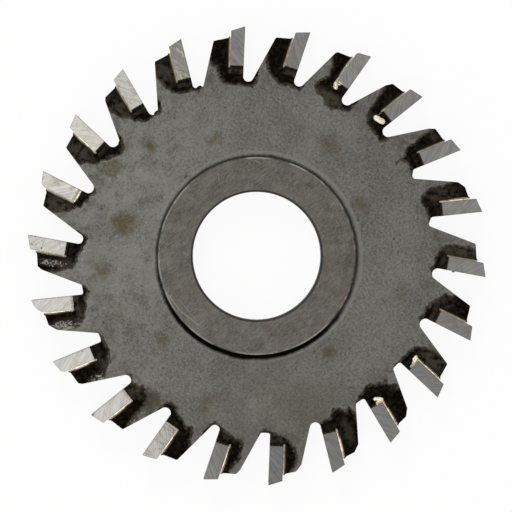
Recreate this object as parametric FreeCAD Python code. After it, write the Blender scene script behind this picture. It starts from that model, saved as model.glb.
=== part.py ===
import FreeCAD, Part
import math
import os

# Disc: turned blank, sizes in millimetres
TIP_CIRCLE = 78.6
CUT_WIDTH = 6.2
HUB_WIDTH = 6.0
WEB_WIDTH = 4.7
HUB_DIAMETER = 33.8
HUB_CHAMFER = 0.15
HUB_FOOT_RUN = 1.05
BORE_DIAMETER = 22.0
BORE_CHAMFER = 0.3

# Teeth: clockwise seen from above, the first one measured from +Y, angles in degrees
TOOTH_COUNT = 22
FIRST_TOOTH = 357.1
RAKE = 5.1
CLEARANCE = 14.0
LAND_DROP = 1.25
LAND_ANGLE = 8.5
LAND_LENGTH = 2.48
LAND_RISE = 0.35
BACK_ANGLE = 15.6
HEEL_RADIUS = 0.3
GULLET_RADIUS = 0.97

# Carbide tips and their seats
TIP_LENGTH = 6.75
TIP_THICKNESS = 2.35
TIP_CORNER = 0.2
SIDE_RELIEF_INWARD = 1.0
SIDE_RELIEF_BEHIND = 1.5
BRAZE_GAP = 0.2
BRAZE_FILLET = 0.14
BRAZE_HEIGHT = 0.3
RECESS_LENGTH = 1.7
RECESS_OVERHANG = 0.25
RECESS_DEPTH = 0.35

# Worn heels of the steel by tooth, as parts of the land's length: along the land, down the back
WORN_HEELS = {
    3: (0.08, 0.12),
    4: (0.14, 0.44),
    5: (0.12, 0.4),
    6: (0.32, 0.36),
    10: (0.3, 0.4),
    11: (0.32, 0.4),
    12: (0.28, 0.44),
    13: (0.12, 0.36),
    16: (0.12, 0.2),
    17: (0.32, 0.48),
    18: (0.12, 0.32),
    21: (0.12, 0.2),
}

# Tips with a rounded heel, and one with a corner broken off its upper face, as parts of the tip's thickness
ROUNDED_TIPS = {3: 0.2, 16: 0.34, 17: 1.0, 19: 0.45}
BROKEN_TIPS = {15: (0.4, 0.38, 0.5)}

# Gullets with a sharper or blunter round bottom than the others, by the tooth behind them
GULLET_ROUNDING = {1: 0.9, 2: 0.9, 3: 0.92, 4: 0.95, 5: 0.88, 13: 0.87, 15: 0.95, 18: 0.9, 20: 1.1, 21: 0.89}

# Gullets with a flat bottom: depths below the seat at its front and back, in recess lengths
FLAT_GULLETS = {
    5: (1.05, 1.6),
    6: (1.05, 1.52),
    9: (1.15, 1.25),
    10: (1.12, 1.15),
    12: (1.15, 1.25),
    16: (1.2, 1.32),
    17: (1.18, 1.2),
    22: (1.0, 1.22),
}

# Braze that stands out in a wide crescent behind the tip, in fillet widths
CRESCENTS = {6: 2.0, 9: 1.8, 10: 2.2, 11: 3.0, 13: 1.6, 14: 1.8, 15: 2.2, 16: 3.1, 17: 1.5, 20: 1.6}

# Drops of braze by tooth: below the tip and behind the rake face at both ends, then the radius
# Lengths below the tip and radii are parts of the recess, those behind the rake face parts of the tip's thickness
DROPS = {
    3: [(0.3, 1.02, 0.6, 0.94, 0.25)],
    4: [(0.92, 1.0, 0.68, 0.43, 0.29), (0.3, 0.94, 0.75, 0.94, 0.18)],
    9: [(0.16, 1.0, 0.16, 0.7, 0.16)],
    10: [(0.2, 1.0, 0.5, 0.82, 0.27)],
    19: [(0.2, 0.9, 0.28, 0.3, 0.18)],
}

TIP_RADIUS = TIP_CIRCLE / 2
PITCH = 360 / TOOTH_COUNT
TIP_HEEL = TIP_THICKNESS * math.tan(math.radians(RAKE + CLEARANCE))
SEAT_WALL = TIP_THICKNESS + BRAZE_GAP
SEAT_FLOOR = TIP_LENGTH + BRAZE_GAP
LAND_START = TIP_HEEL + LAND_DROP
UP = FreeCAD.Vector(0, 0, 1)


def polar(x, y, angle):
    """Turns a point of the upright tooth clockwise by an angle."""
    c, s = math.cos(math.radians(angle)), math.sin(math.radians(angle))
    return (x * c + y * s, y * c - x * s)


def on_tip(down, behind):
    """A point by its distance down the rake face and behind it, on the upright tooth."""
    c, s = math.cos(math.radians(RAKE)), math.sin(math.radians(RAKE))
    return (-down * s - behind * c, TIP_RADIUS - down * c + behind * s)


def crossing(p, p_angle, q, q_angle):
    """Where two lines cross, each through a point and running inwards at an angle from the radius."""
    a = (-math.sin(math.radians(p_angle)), -math.cos(math.radians(p_angle)))
    b = (-math.sin(math.radians(q_angle)), -math.cos(math.radians(q_angle)))
    k = ((q[0] - p[0]) * b[1] - (q[1] - p[1]) * b[0]) / (a[0] * b[1] - a[1] * b[0])
    return (p[0] + k * a[0], p[1] + k * a[1])


def rounded_wire(corners, z):
    """A closed wire through corners (x, y, radius), each rounded by its radius."""
    ends = []
    for i, (x, y, radius) in enumerate(corners):
        here = FreeCAD.Vector(x, y, z)
        if radius == 0:
            ends.append((here, None, here))
            continue
        before = FreeCAD.Vector(corners[i - 1][0], corners[i - 1][1], z) - here
        after = corners[(i + 1) % len(corners)]
        after = FreeCAD.Vector(after[0], after[1], z) - here
        half = before.getAngle(after) / 2
        before.normalize()
        after.normalize()
        inward = before + after
        inward.normalize()
        reach = radius / math.tan(half)
        middle = here + inward * (radius / math.sin(half) - radius)
        ends.append((here + before * reach, middle, here + after * reach))
    edges = []
    for i, (start, middle, end) in enumerate(ends):
        if middle is not None:
            edges.append(Part.Arc(start, middle, end).toShape())
        following = ends[(i + 1) % len(ends)][0]
        if end.distanceToPoint(following) > 1e-6:
            edges.append(Part.makeLine(end, following))
    return Part.Wire(edges)


def prism(corners, bottom, top):
    """A straight solid on a rounded outline."""
    return Part.Face(rounded_wire(corners, bottom)).extrude(UP * (top - bottom))


def gullet_corners(number, next_heel):
    """The bottom of the gullet in front of an upright tooth: one round corner, or a flat between two."""
    next_back = BACK_ANGLE + PITCH
    if number not in FLAT_GULLETS:
        bottom = crossing(on_tip(SEAT_FLOOR, 0), RAKE, next_heel, next_back)
        return [(*bottom, GULLET_RADIUS * GULLET_ROUNDING.get(number, 1))]
    front, rear = FLAT_GULLETS[number]
    start = on_tip(SEAT_FLOOR + front * RECESS_LENGTH, 0)
    end = crossing(on_tip(SEAT_FLOOR + rear * RECESS_LENGTH, 0), 90, next_heel, next_back)
    return [(*start, GULLET_RADIUS / 2), (*end, GULLET_RADIUS / 2)]


def tooth_corners(number):
    """Steel outline of one upright tooth: heel, land, seat for the tip, and the gullet in front of it."""
    slope = math.radians(LAND_ANGLE)
    seat_edge = on_tip(LAND_START - LAND_RISE, SEAT_WALL)
    land_in = on_tip(LAND_START, SEAT_WALL + LAND_RISE)
    heel = (land_in[0] - LAND_LENGTH * math.cos(slope), land_in[1] - LAND_LENGTH * math.sin(slope))
    back = math.radians(BACK_ANGLE)
    if number in WORN_HEELS:
        along, down = (part * LAND_LENGTH for part in WORN_HEELS[number])
        corners = [
            (heel[0] - down * math.sin(back), heel[1] - down * math.cos(back), 0.6),
            (heel[0] + along * math.cos(slope), heel[1] + along * math.sin(slope), 0.4),
        ]
    else:
        corners = [(*heel, HEEL_RADIUS)]
    corners.append((*land_in, LAND_RISE))
    corners.append((*seat_edge, 0))
    corners.append((*on_tip(SEAT_FLOOR, SEAT_WALL), 0))
    corners.append((*on_tip(SEAT_FLOOR, 0), 0))
    return corners + gullet_corners(number, polar(*heel, PITCH))


def turned_blank():
    """The disc before the teeth are cut: bore, ground hub rings and the thinner web."""
    hub, web = HUB_WIDTH / 2, WEB_WIDTH / 2
    bore, rim = BORE_DIAMETER / 2, TIP_RADIUS
    edge = HUB_DIAMETER / 2
    step = hub - HUB_CHAMFER - web
    upper = [
        (bore, hub - BORE_CHAMFER),
        (bore + BORE_CHAMFER, hub),
        (edge - HUB_CHAMFER, hub),
        (edge, hub - HUB_CHAMFER),
        (edge + 0.35 * HUB_FOOT_RUN, web + 0.3 * step),
        (edge + HUB_FOOT_RUN, web),
        (rim, web),
    ]
    points = [FreeCAD.Vector(r, 0, z) for r, z in upper]
    points += [FreeCAD.Vector(r, 0, -z) for r, z in upper[::-1]]
    profile = Part.makePolygon(points + points[:1])
    return Part.Face(profile).revolve(FreeCAD.Vector(0, 0, 0), UP, 360)


def recesses():
    """Shallow pockets in both faces of the upright tooth, under the end of the tip."""
    outline = [
        (*on_tip(SEAT_FLOOR - BRAZE_GAP / 2, -1), 0),
        (*on_tip(SEAT_FLOOR - BRAZE_GAP / 2, SEAT_WALL + RECESS_OVERHANG), 0),
        (*on_tip(SEAT_FLOOR + RECESS_LENGTH, SEAT_WALL + RECESS_OVERHANG), 0),
        (*on_tip(SEAT_FLOOR + RECESS_LENGTH, -1), 0),
    ]
    floor = WEB_WIDTH / 2 - RECESS_DEPTH
    return [prism(outline, floor, CUT_WIDTH / 2), prism(outline, -CUT_WIDTH / 2, -floor)]


def cutter_body():
    """The steel disc with its 22 teeth, seats, gullets and pockets."""
    corners = []
    pockets = []
    for k in range(TOOTH_COUNT):
        angle = FIRST_TOOTH + k * PITCH
        corners += [(*polar(x, y, angle), r) for x, y, r in tooth_corners(k + 1)]
        pockets += [placed(shape, k + 1) for shape in recesses()]
    toothed = prism(corners, -CUT_WIDTH, CUT_WIDTH)
    return turned_blank().common(toothed).cut(Part.makeCompound(pockets)).Solids[0]


def side_ground(tip):
    """Grinds the clearance on both sides of a tip: away from the cutting corner, inwards and behind."""
    inward = math.tan(math.radians(SIDE_RELIEF_INWARD))
    behind = math.tan(math.radians(SIDE_RELIEF_BEHIND))
    c, s = math.cos(math.radians(RAKE)), math.sin(math.radians(RAKE))
    normal = FreeCAD.Vector(-inward * s - behind * c, -inward * c + behind * s, 1)
    wheel = Part.makeBox(4 * TIP_LENGTH, 4 * TIP_LENGTH, CUT_WIDTH)
    wheel.translate(FreeCAD.Vector(-2 * TIP_LENGTH, -2 * TIP_LENGTH, 0))
    corner = FreeCAD.Vector(0, TIP_RADIUS, CUT_WIDTH / 2)
    wheel.Placement = FreeCAD.Placement(corner, FreeCAD.Rotation(UP, normal)).multiply(wheel.Placement)
    return tip.cut(wheel).cut(wheel.mirror(FreeCAD.Vector(0, 0, 0), UP))


def broken_corner(number):
    """The splinter that is missing from a tip's cutting corner: a pyramid on the upper face."""
    down, behind, depth = (part * TIP_THICKNESS for part in BROKEN_TIPS[number])
    top = CUT_WIDTH / 2
    base = Part.makePolygon([
        FreeCAD.Vector(*on_tip(down, -behind), top),
        FreeCAD.Vector(*on_tip(-down, -behind), top),
        FreeCAD.Vector(*on_tip(-down, behind), top),
        FreeCAD.Vector(*on_tip(down, 0), top),
        FreeCAD.Vector(*on_tip(down, -behind), top),
    ])
    return Part.makeLoft([base, Part.Vertex(*on_tip(-down, -behind), top - 2 * depth)], True, True)


def carbide_tip(number):
    """A rectangular tip with ground clearance on its land and on both sides, worn as its tooth is."""
    corners = [
        (*on_tip(0, 0), 0),
        (*on_tip(TIP_HEEL, TIP_THICKNESS), ROUNDED_TIPS.get(number, 0) * TIP_THICKNESS),
        (*on_tip(TIP_LENGTH, TIP_THICKNESS), TIP_CORNER),
        (*on_tip(TIP_LENGTH, 0), 0),
    ]
    tip = side_ground(prism(corners, -CUT_WIDTH / 2, CUT_WIDTH / 2))
    if number in BROKEN_TIPS:
        tip = tip.cut(broken_corner(number))
    return tip.Solids[0]


def drop_of_braze(below, behind, end_below, end_behind, radius):
    """A flattened drop lying in the recess on the upper face, drawn out between two points."""
    start = on_tip(TIP_LENGTH + below * RECESS_LENGTH, behind * TIP_THICKNESS)
    end = on_tip(TIP_LENGTH + end_below * RECESS_LENGTH, end_behind * TIP_THICKNESS)
    run = math.dist(start, end)
    along = ((end[0] - start[0]) / run, (end[1] - start[1]) / run)
    floor = WEB_WIDTH / 2 - RECESS_DEPTH
    height = 1.3 * radius * RECESS_LENGTH
    rings = []
    for size, rise in ((1, -0.1), (0.9, 0.5), (0.5, 1)):
        r = size * radius * RECESS_LENGTH
        z = floor + rise * height

        def edge(point, forward, sideways):
            x = point[0] + r * (forward * along[0] - sideways * along[1])
            y = point[1] + r * (forward * along[1] + sideways * along[0])
            return FreeCAD.Vector(x, y, z)

        rings.append(Part.Wire([
            Part.makeLine(edge(start, 0, -1), edge(end, 0, -1)),
            Part.Arc(edge(end, 0, -1), edge(end, 1, 0), edge(end, 0, 1)).toShape(),
            Part.makeLine(edge(end, 0, 1), edge(start, 0, 1)),
            Part.Arc(edge(start, 0, 1), edge(start, -1, 0), edge(start, 0, -1)).toShape(),
        ]))
    return Part.makeLoft(rings, True, True)


def crescent(number, start, side):
    """Braze bulging over the steel behind the tip: widest halfway down, and highest against the tip."""
    rings = []
    for width, rise in ((CRESCENTS[number] * BRAZE_FILLET, 0), (0, BRAZE_HEIGHT)):
        z = side * (WEB_WIDTH / 2 + rise)
        edge = TIP_THICKNESS + 0.2 * BRAZE_GAP
        top = FreeCAD.Vector(*on_tip(start, edge), z)
        belly = FreeCAD.Vector(*on_tip((start + TIP_LENGTH) / 2, edge + 0.8 * BRAZE_GAP + width), z)
        bottom = FreeCAD.Vector(*on_tip(TIP_LENGTH, edge), z)
        inner_bottom = FreeCAD.Vector(*on_tip(TIP_LENGTH, TIP_THICKNESS / 2), z)
        inner_top = FreeCAD.Vector(*on_tip(start, TIP_THICKNESS / 2), z)
        rings.append(Part.Wire([
            Part.Arc(top, belly, bottom).toShape(),
            Part.makeLine(bottom, inner_bottom),
            Part.makeLine(inner_bottom, inner_top),
            Part.makeLine(inner_top, top),
        ]))
    return Part.makeLoft(rings, True, True)


def braze_seam(number, steel, tip):
    """The braze between one tip and its seat, with a fillet along both faces and any drops below the tip."""
    web = WEB_WIDTH / 2
    start = LAND_START - LAND_RISE + BRAZE_GAP / 2

    def outline(width):
        return [
            (*on_tip(start, 0), 0),
            (*on_tip(start, TIP_THICKNESS), 0),
            (*on_tip(start + width, TIP_THICKNESS + width), 0),
            (*on_tip(TIP_LENGTH + width, TIP_THICKNESS + width), 0),
            (*on_tip(TIP_LENGTH + width, 0), 0),
        ]

    wide, thin = outline(BRAZE_GAP + BRAZE_FILLET), outline(BRAZE_GAP / 5)
    seam = prism(wide, -web, web)
    for side in (1, -1):
        foot = rounded_wire(wide, side * web)
        crest = rounded_wire(thin, side * (web + BRAZE_HEIGHT))
        seam = seam.fuse(Part.makeLoft([foot, crest], True, True))
        if number in CRESCENTS:
            seam = seam.fuse(crescent(number, start, side))
    for drop in DROPS.get(number, []):
        seam = seam.fuse(drop_of_braze(*drop))
    return seam.cut(steel).cut(tip)


def placed(shape, number):
    """A copy of an upright tooth's piece, turned to its place on the disc."""
    turned = shape.copy()
    turned.rotate(FreeCAD.Vector(0, 0, 0), UP, -(FIRST_TOOTH + (number - 1) * PITCH))
    return turned


def upright_steel(body):
    """The steel round the seat of the first tooth, turned upright."""
    steel = body.copy()
    steel.rotate(FreeCAD.Vector(0, 0, 0), UP, FIRST_TOOTH)
    reach = TIP_LENGTH + 2 * RECESS_LENGTH
    block = Part.makeBox(3 * TIP_THICKNESS, reach, CUT_WIDTH)
    block.translate(FreeCAD.Vector(-2.5 * TIP_THICKNESS, TIP_RADIUS - reach, -CUT_WIDTH / 2))
    return steel.common(block)


def write(name, shape):
    if len(shape.Solids) != 1 or not shape.isValid():
        raise ValueError(f"{name} is {len(shape.Solids)} solids, valid: {shape.isValid()}")
    shape.Solids[0].exportStep(f"parts/{name}.step")


os.makedirs("parts", exist_ok=True)
disc = cutter_body()
write("cutter_body", disc)
seat_steel = upright_steel(disc)
for tooth in range(1, TOOTH_COUNT + 1):
    carbide = carbide_tip(tooth)
    write(f"carbide_tip_{tooth:02d}", placed(carbide, tooth))
    write(f"braze_seam_{tooth:02d}", placed(braze_seam(tooth, seat_steel, carbide), tooth))
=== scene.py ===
"""Looks of the key cutter: blasted and ground steel, carbide tips, braze and baked-on flux.

The CAD pieces keep their shapes and get their materials here. The flux and the skins of the braze
drops are added as thin closed pieces on the steel. Lengths are in millimetres until they reach
Blender, which works in metres.
"""
import math
from collections import namedtuple

import bmesh
import bpy
from mathutils import Matrix, Vector, noise
from mathutils.bvhtree import BVHTree


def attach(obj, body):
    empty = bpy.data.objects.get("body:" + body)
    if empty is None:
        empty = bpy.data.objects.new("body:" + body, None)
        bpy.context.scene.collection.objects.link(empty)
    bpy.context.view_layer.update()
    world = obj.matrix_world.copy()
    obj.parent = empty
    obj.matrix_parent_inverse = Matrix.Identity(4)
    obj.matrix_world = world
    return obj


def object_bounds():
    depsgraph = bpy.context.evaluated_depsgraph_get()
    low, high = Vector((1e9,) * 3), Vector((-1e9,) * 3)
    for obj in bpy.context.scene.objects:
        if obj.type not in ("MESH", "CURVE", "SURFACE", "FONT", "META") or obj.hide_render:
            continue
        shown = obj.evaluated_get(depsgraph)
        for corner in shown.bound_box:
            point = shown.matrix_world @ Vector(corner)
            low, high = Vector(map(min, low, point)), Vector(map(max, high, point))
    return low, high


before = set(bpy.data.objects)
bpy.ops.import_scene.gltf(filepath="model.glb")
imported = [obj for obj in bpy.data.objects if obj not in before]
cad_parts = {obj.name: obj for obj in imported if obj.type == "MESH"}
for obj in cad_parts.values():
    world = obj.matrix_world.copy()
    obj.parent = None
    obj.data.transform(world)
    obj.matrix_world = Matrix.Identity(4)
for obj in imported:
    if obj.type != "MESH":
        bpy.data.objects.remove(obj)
cad_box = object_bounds()

MM = 0.001

# The disc
TOOTH_COUNT = 22
PITCH = 360 / TOOTH_COUNT
FIRST_TOOTH = 357.1
WEB_TOP = 2.35
HUB_RADIUS = 16.9
BORE_RADIUS = 11.0

# The tips, with the angle of the land on their outer ends, and the recess below each
RAKE = 5.1
LAND_ANGLE = 14.0
TIP_RADIUS = 39.3
TIP_LENGTH = 6.75
TIP_THICKNESS = 2.35
RECESS_LENGTH = 1.7
RECESS_DEPTH = 0.35

# One step of the grid used in the tables, as wide as a pixel of the picture. The grid runs across
# and outwards on a tooth turned upright.
GRID = 0.171

# Outlines of the baked flux by tooth, in that grid. Each runs from the back of the tooth inwards,
# under the tip and to the gullet in front of it, and is closed by the corners that follow.
FLUX = {
    1: [(-38, 198), (-35, 193), (-31, 191), (-30, 184), (-27, 177), (-20, 172), (-8, 171), (4, 169),
        (9, 172), (9, 177)],
    2: [(-38, 198), (-36, 191), (-33, 183), (-27, 178), (-20, 173), (-17, 172), (-8, 173), (3, 171),
        (6, 176)],
    3: [(-38, 212), (-32, 207), (-29, 202), (-28, 192), (-33, 185), (-35, 178), (-30, 171),
        (-21, 170), (-15, 165), (-8, 164), (-2, 168), (4, 170), (8, 172), (9, 177)],
    4: [(-35, 212), (-33, 204), (-30, 193), (-29, 184), (-25, 176), (-19, 171), (-8, 170), (2, 168),
        (6, 172), (6, 177)],
    5: [(-31, 219), (-32, 208), (-31, 199), (-28, 192), (-28, 184), (-25, 180), (-21, 177),
        (-20, 171), (-18, 166), (-18, 172), (-15, 176), (-6, 176), (2, 174)],
    6: [(-36, 206), (-34, 198), (-33, 190), (-34, 185), (-32, 180), (-27, 173), (-22, 171),
        (-18, 172), (-14, 175), (-3, 176), (2, 177)],
    7: [(-28, 220), (-28, 214), (-29, 207), (-30, 197), (-29, 189), (-26, 184), (-19, 180),
        (-9, 177), (-3, 175), (2, 176)],
    8: [(-38, 202), (-35, 197), (-35, 189), (-30, 185), (-25, 182), (-21, 179), (-16, 178),
        (-15, 176), (-7, 176), (-3, 174), (3, 176)],
    9: [(-35, 212), (-35, 200), (-33, 193), (-29, 185), (-27, 181), (-21, 179), (-14, 178),
        (-4, 177), (0, 176), (3, 177)],
    10: [(-41, 189), (-37, 183), (-33, 182), (-32, 173), (-30, 178), (-26, 174), (-22, 174),
         (-19, 171), (-12, 169), (-7, 172), (0, 173), (4, 177)],
    11: [(-42, 186), (-40, 178), (-37, 172), (-34, 177), (-31, 174), (-26, 171), (-22, 170),
         (-18, 174), (-16, 177), (-7, 178), (0, 178)],
    12: [(-22, 220), (-26, 215), (-30, 207), (-31, 201), (-28, 193), (-25, 188), (-21, 185),
         (-15, 182), (-9, 178), (0, 173), (5, 175)],
    13: [(-24, 220), (-24, 214), (-28, 208), (-31, 200), (-31, 192), (-30, 186), (-28, 183),
         (-22, 183), (-12, 178), (-5, 175), (2, 171), (6, 175), (12, 187)],
    14: [(-38, 199), (-34, 192), (-33, 185), (-28, 181), (-23, 183), (-17, 179), (-11, 176),
         (-3, 170), (2, 169), (6, 172), (7, 177)],
    15: [(-35, 212), (-32, 204), (-31, 192), (-30, 183), (-26, 176), (-22, 174), (-15, 172),
         (-11, 175), (-5, 177), (2, 173), (5, 176)],
    16: [(-36, 206), (-38, 197), (-37, 190), (-31, 186), (-27, 180), (-21, 177), (-15, 175),
         (-8, 174), (0, 174), (4, 177)],
    17: [(-36, 210), (-37, 198), (-35, 188), (-29, 183), (-22, 179), (-17, 176), (-9, 176),
         (-3, 172), (2, 173), (5, 177)],
    18: [(-35, 205), (-34, 196), (-31, 190), (-30, 183), (-26, 180), (-19, 179), (-12, 176),
         (-6, 173), (-1, 170), (3, 170), (7, 176)],
    19: [(-36, 208), (-33, 202), (-30, 197), (-28, 191), (-24, 187), (-20, 183), (-13, 179),
         (-6, 176), (-1, 173), (3, 176)],
    20: [(-38, 198), (-35, 194), (-31, 191), (-30, 186), (-25, 181), (-19, 180), (-13, 175),
         (-3, 170), (3, 171), (8, 176), (10, 181)],
    21: [(-36, 207), (-34, 199), (-30, 192), (-25, 188), (-21, 182), (-15, 176), (-9, 173),
         (-2, 174), (5, 172), (9, 176), (9, 181)],
    22: [(-37, 206), (-34, 197), (-31, 188), (-27, 183), (-21, 180), (-18, 178), (-6, 177),
         (-1, 174), (5, 177)],
}
FLUX_CORNERS = [(14, 200), (2, 232), (-44, 232)]

# Whitish crust on the heels: middle, half sizes, and strength, in the same grid
ASH = {
    9: (-34, 207, 2, 4, 0.35),
    10: (-37, 187, 5, 4, 0.4),
    15: (-34, 199, 4, 10, 0.6),
    16: (-36, 198, 5, 9, 0.8),
    17: (-32, 203, 6, 15, 1.0),
    18: (-25.5, 203, 3, 13, 1.0),
}

# Thin brown patches of the flux, given in the same way
BROWN = {
    3: (-17, 172, 14, 7, 1.0),
    4: (-24, 177, 8, 6, 0.5),
    5: (-24, 210, 4, 5, 0.5),
    6: (-24, 192, 7, 16, 0.6),
    7: (-22, 202, 6, 18, 0.8),
    8: (-26, 190, 8, 10, 0.5),
    9: (-27, 204, 8, 16, 0.8),
    11: (-28, 196, 5, 12, 0.5),
    12: (-14, 180, 12, 5, 0.7),
    13: (-12, 181, 10, 6, 0.7),
    15: (-12, 182, 9, 6, 0.8),
    16: (-24, 184, 8, 7, 0.7),
    17: (-26, 182, 10, 5, 0.7),
    18: (-28, 188, 8, 8, 0.6),
    19: (-28, 203, 9, 14, 0.9),
    20: (-28, 203, 9, 14, 0.8),
    21: (-28, 200, 9, 14, 0.8),
    22: (-28, 202, 9, 14, 0.7),
}

# How clearly a brown bar shows in the pool below each tip, and where none is given
BARS = {
    1: 0.9, 2: 0.7, 7: 0.5, 8: 0.5, 12: 0.5, 17: 1.0, 20: 0.5, 21: 0.4, 22: 0.5,
}
FAINT_BAR = 0.15

# Drops of braze, each between two points with its radius, in the same grid
DROPS = {
    3: [(-17.3, 189.4, -15.0, 185.6, 2.3), (-16, 189.8, -12, 190.0, 1.2)],
    4: [(-16.9, 181.6, -9.8, 183.8, 3.2)],
    9: [(-17.2, 189.2, -12.4, 190.4, 2.8), (-18.6, 188.0, -16.0, 187.8, 2.0)],
    10: [(-17.6, 189.6, -12.6, 185.6, 2.1), (-16.5, 190.3, -12.6, 190.0, 2.0)],
    19: [(-16.2, 190.0, -9.0, 189.4, 1.3), (-9.4, 188.9, -5.4, 188.4, 1.6)],
}

# Lumps of burnt flux on the gullet walls and one rake face: middle and half sizes, in that grid
LUMPS = {
    1: [(2.0, 173.2, 3.2, 1.6)],
    7: [(-2.7, 197.8, 1.2, 1.5)],
    14: [(0.5, 172.2, 4.5, 2.2)],
    20: [(5.2, 177.2, 3.0, 2.0), (1.0, 173.2, 3.0, 1.8)],
    21: [(2.6, 175.4, 3.6, 1.4)],
    22: [(1.5, 178.2, 2.6, 1.9)],
}

# How brightly the braze behind each tip shows, from 0 to 1
BRAZE_SHINE = {
    1: 0.5, 2: 0.55, 3: 0.8, 4: 0.45, 5: 0.3, 6: 1.0, 7: 0.2, 8: 0.5, 9: 0.85, 10: 0.9, 11: 1.0,
    12: 0.6, 13: 0.85, 14: 0.9, 15: 1.0, 16: 1.0, 17: 0.9, 18: 0.6, 19: 0.6, 20: 1.0, 21: 0.6,
    22: 0.45,
}

# Lightness of the tips, from tooth 1 on
TIP_TONE = [
    0.98, 0.96, 1.14, 1.03, 1.1, 1.1, 1.08, 0.94, 0.93, 0.98, 0.86, 0.79, 0.75, 0.98, 1.0, 1.02,
    1.05, 1.02, 1.08, 1.1, 1.02, 0.88,
]

# Strength of the brown blotches and of the pits on the worn tips, and on the others
TIP_WEAR = {
    3: (0.5, 0.2), 4: (0.2, 0.0), 8: (0.5, 0.0), 14: (0.7, 0.2), 15: (0.25, 0.1), 16: (0.3, 0.1),
    17: (0.2, 0.0), 18: (0.4, 0.8), 19: (1.0, 0.05), 20: (0.4, 0.15), 21: (0.35, 0.2),
    22: (0.9, 0.1),
}
SOUND_TIP = (0.1, 0.0)

# Tips with bright braze along their lower edge as well, and from how far behind the rake face
BRIGHT_FOOT = {
    3: 1.5, 9: 0.6, 10: 1.2, 14: 0.0, 15: 0.0, 17: 0.0, 19: 0.0,
}

# Rust and oil stains on the upper web: place and radius in millimetres, and strength
STAINS = [
    (-23.0, 5.6, 2.4, 1.0), (-26.5, -2.7, 2.0, 0.65), (-16.4, -14.4, 1.4, 0.8),
    (-18.1, 18.8, 1.0, 1.0), (-24.4, 15.0, 1.9, 0.9), (-7.2, 20.2, 1.6, 0.8),
    (12.2, 19.2, 2.0, 0.7), (17.8, 8.7, 2.0, 0.8), (24.6, -6.0, 1.9, 0.3), (12.4, -16.6, 1.3, 0.9),
    (-17.2, -24.8, 1.9, 1.0), (-8.7, -24.8, 1.7, 0.75), (-23.7, -10.6, 1.4, 0.4),
]

# Soot on the upper web beside the heel of tooth 15, given in the same way
SOOT = [
    (-19.0, -25.6, 2.6, 1.0), (-17.4, -24.3, 1.5, 0.8),
]

# Scratches on the upper hub face: from and to in millimetres, and strength
SCRATCHES = [
    (-15.6, -5.97, -13.2, -9.25, 1.0), (-13.2, -9.25, -9.9, -11.9, 0.9),
    (-13.4, -7.3, -10.1, -11.3, 0.5), (13.3, 9.3, 12.4, 8.2, 0.8), (-0.5, 16.5, 0.8, 15.7, 0.8),
    (1.4, 15.9, 2.5, 16.3, 0.6), (10.4, 1.2, 11.5, 0.6, 0.5), (-10.8, 9.6, -12.3, 10.4, 0.4),
]

# Where the looks of the disc change: the radius, height or distance at which a change begins, and
# the one at which it is complete
HUB_LEVEL, FOOT_LEVEL, UPPER_SIDE = (2.75, 2.82), (2.95, 2.8), (0.0, 1.0)
# BAND_INNER, BAND_OUTER and BAND_FADE place a painted highlight on the fillet beside the hub's
# foot, weaker towards -X
BAND_INNER, BAND_OUTER, BAND_FADE = (17.35, 17.6), (18.4, 17.9), (-8.0, 12.0)
BURNT_EDGE, WALL_EDGE, TOOTH_EDGE = (26.5, 31.0), (22.0, 23.0), (29.5, 31.5)
# The painted light on the web's left side: its middle, and the distances at which it begins and is
# full
LIT_MIDDLE, LIT_REACH = (-31, 6, WEB_TOP), (40, 10)
OIL_MIDDLE, OIL_REACH = (5, -26, WEB_TOP), (17, 5)

# Colours of the web
WEB_DARK, WEB_LIGHT = (0.054, 0.053, 0.047), (0.160, 0.158, 0.146)
WEB_PIT = (0.022, 0.020, 0.016)
WEB_GLINT = (0.36, 0.35, 0.32)
WEB_BURNT = (0.052, 0.043, 0.030)
OIL_FILM = (0.070, 0.062, 0.046)
STAIN_FILTER = (0.45, 0.36, 0.08)
SOOT_BROWN = (0.026, 0.021, 0.014)
# Painted highlight on the fillet beside the hub's foot
FOOT_HIGHLIGHT = (0.20, 0.195, 0.18)

# Colours of the hub, its foot, the bore and the tooth walls
HUB_DARK, HUB_LIGHT = (0.042, 0.037, 0.031), (0.116, 0.108, 0.098)
HUB_HAIRLINE = (0.26, 0.25, 0.23)
HUB_ROSY = (0.100, 0.070, 0.055)
# Rubbed outer edge of the hub face, partly a painted highlight on its chamfer
HUB_EDGE_WEAR_AND_HIGHLIGHT = (0.36, 0.35, 0.32)
# Painted shade in the corner at the hub's foot, partly grime
FOOT_SHADE = (0.002, 0.0016, 0.0012)
# Painted shade on the bore's edge and on its wall
BORE_EDGE_SHADE = (0.016, 0.014, 0.012)
BORE_WALL_SHADE = (0.05, 0.047, 0.042)
WALL_DARK, WALL_LIGHT = (0.016, 0.013, 0.010), (0.085, 0.074, 0.060)

# Colours of the tips
CARBIDE_DARK, CARBIDE_LIGHT = (0.158, 0.156, 0.151), (0.238, 0.236, 0.228)
CARBIDE_CLOUD = (0.135, 0.120, 0.095)
CARBIDE_PIT = (0.04, 0.035, 0.03)
CARBIDE_BLOTCH = (0.155, 0.135, 0.085)
CARBIDE_HOLE = (0.050, 0.036, 0.022)
CARBIDE_RIM = (0.05, 0.042, 0.03)

# Colours of the braze
GOLD_DARK, GOLD_LIGHT = (0.50, 0.41, 0.26), (0.80, 0.73, 0.58)
GOLD_DULL = (0.16, 0.12, 0.07)
BRAZE_BLACK, BRAZE_BROWN = (0.008, 0.006, 0.004), (0.045, 0.030, 0.015)
DROP_DARK, DROP_LIGHT = (0.54, 0.47, 0.31), (0.70, 0.63, 0.47)
DROP_RIM = (0.05, 0.035, 0.018)

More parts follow.
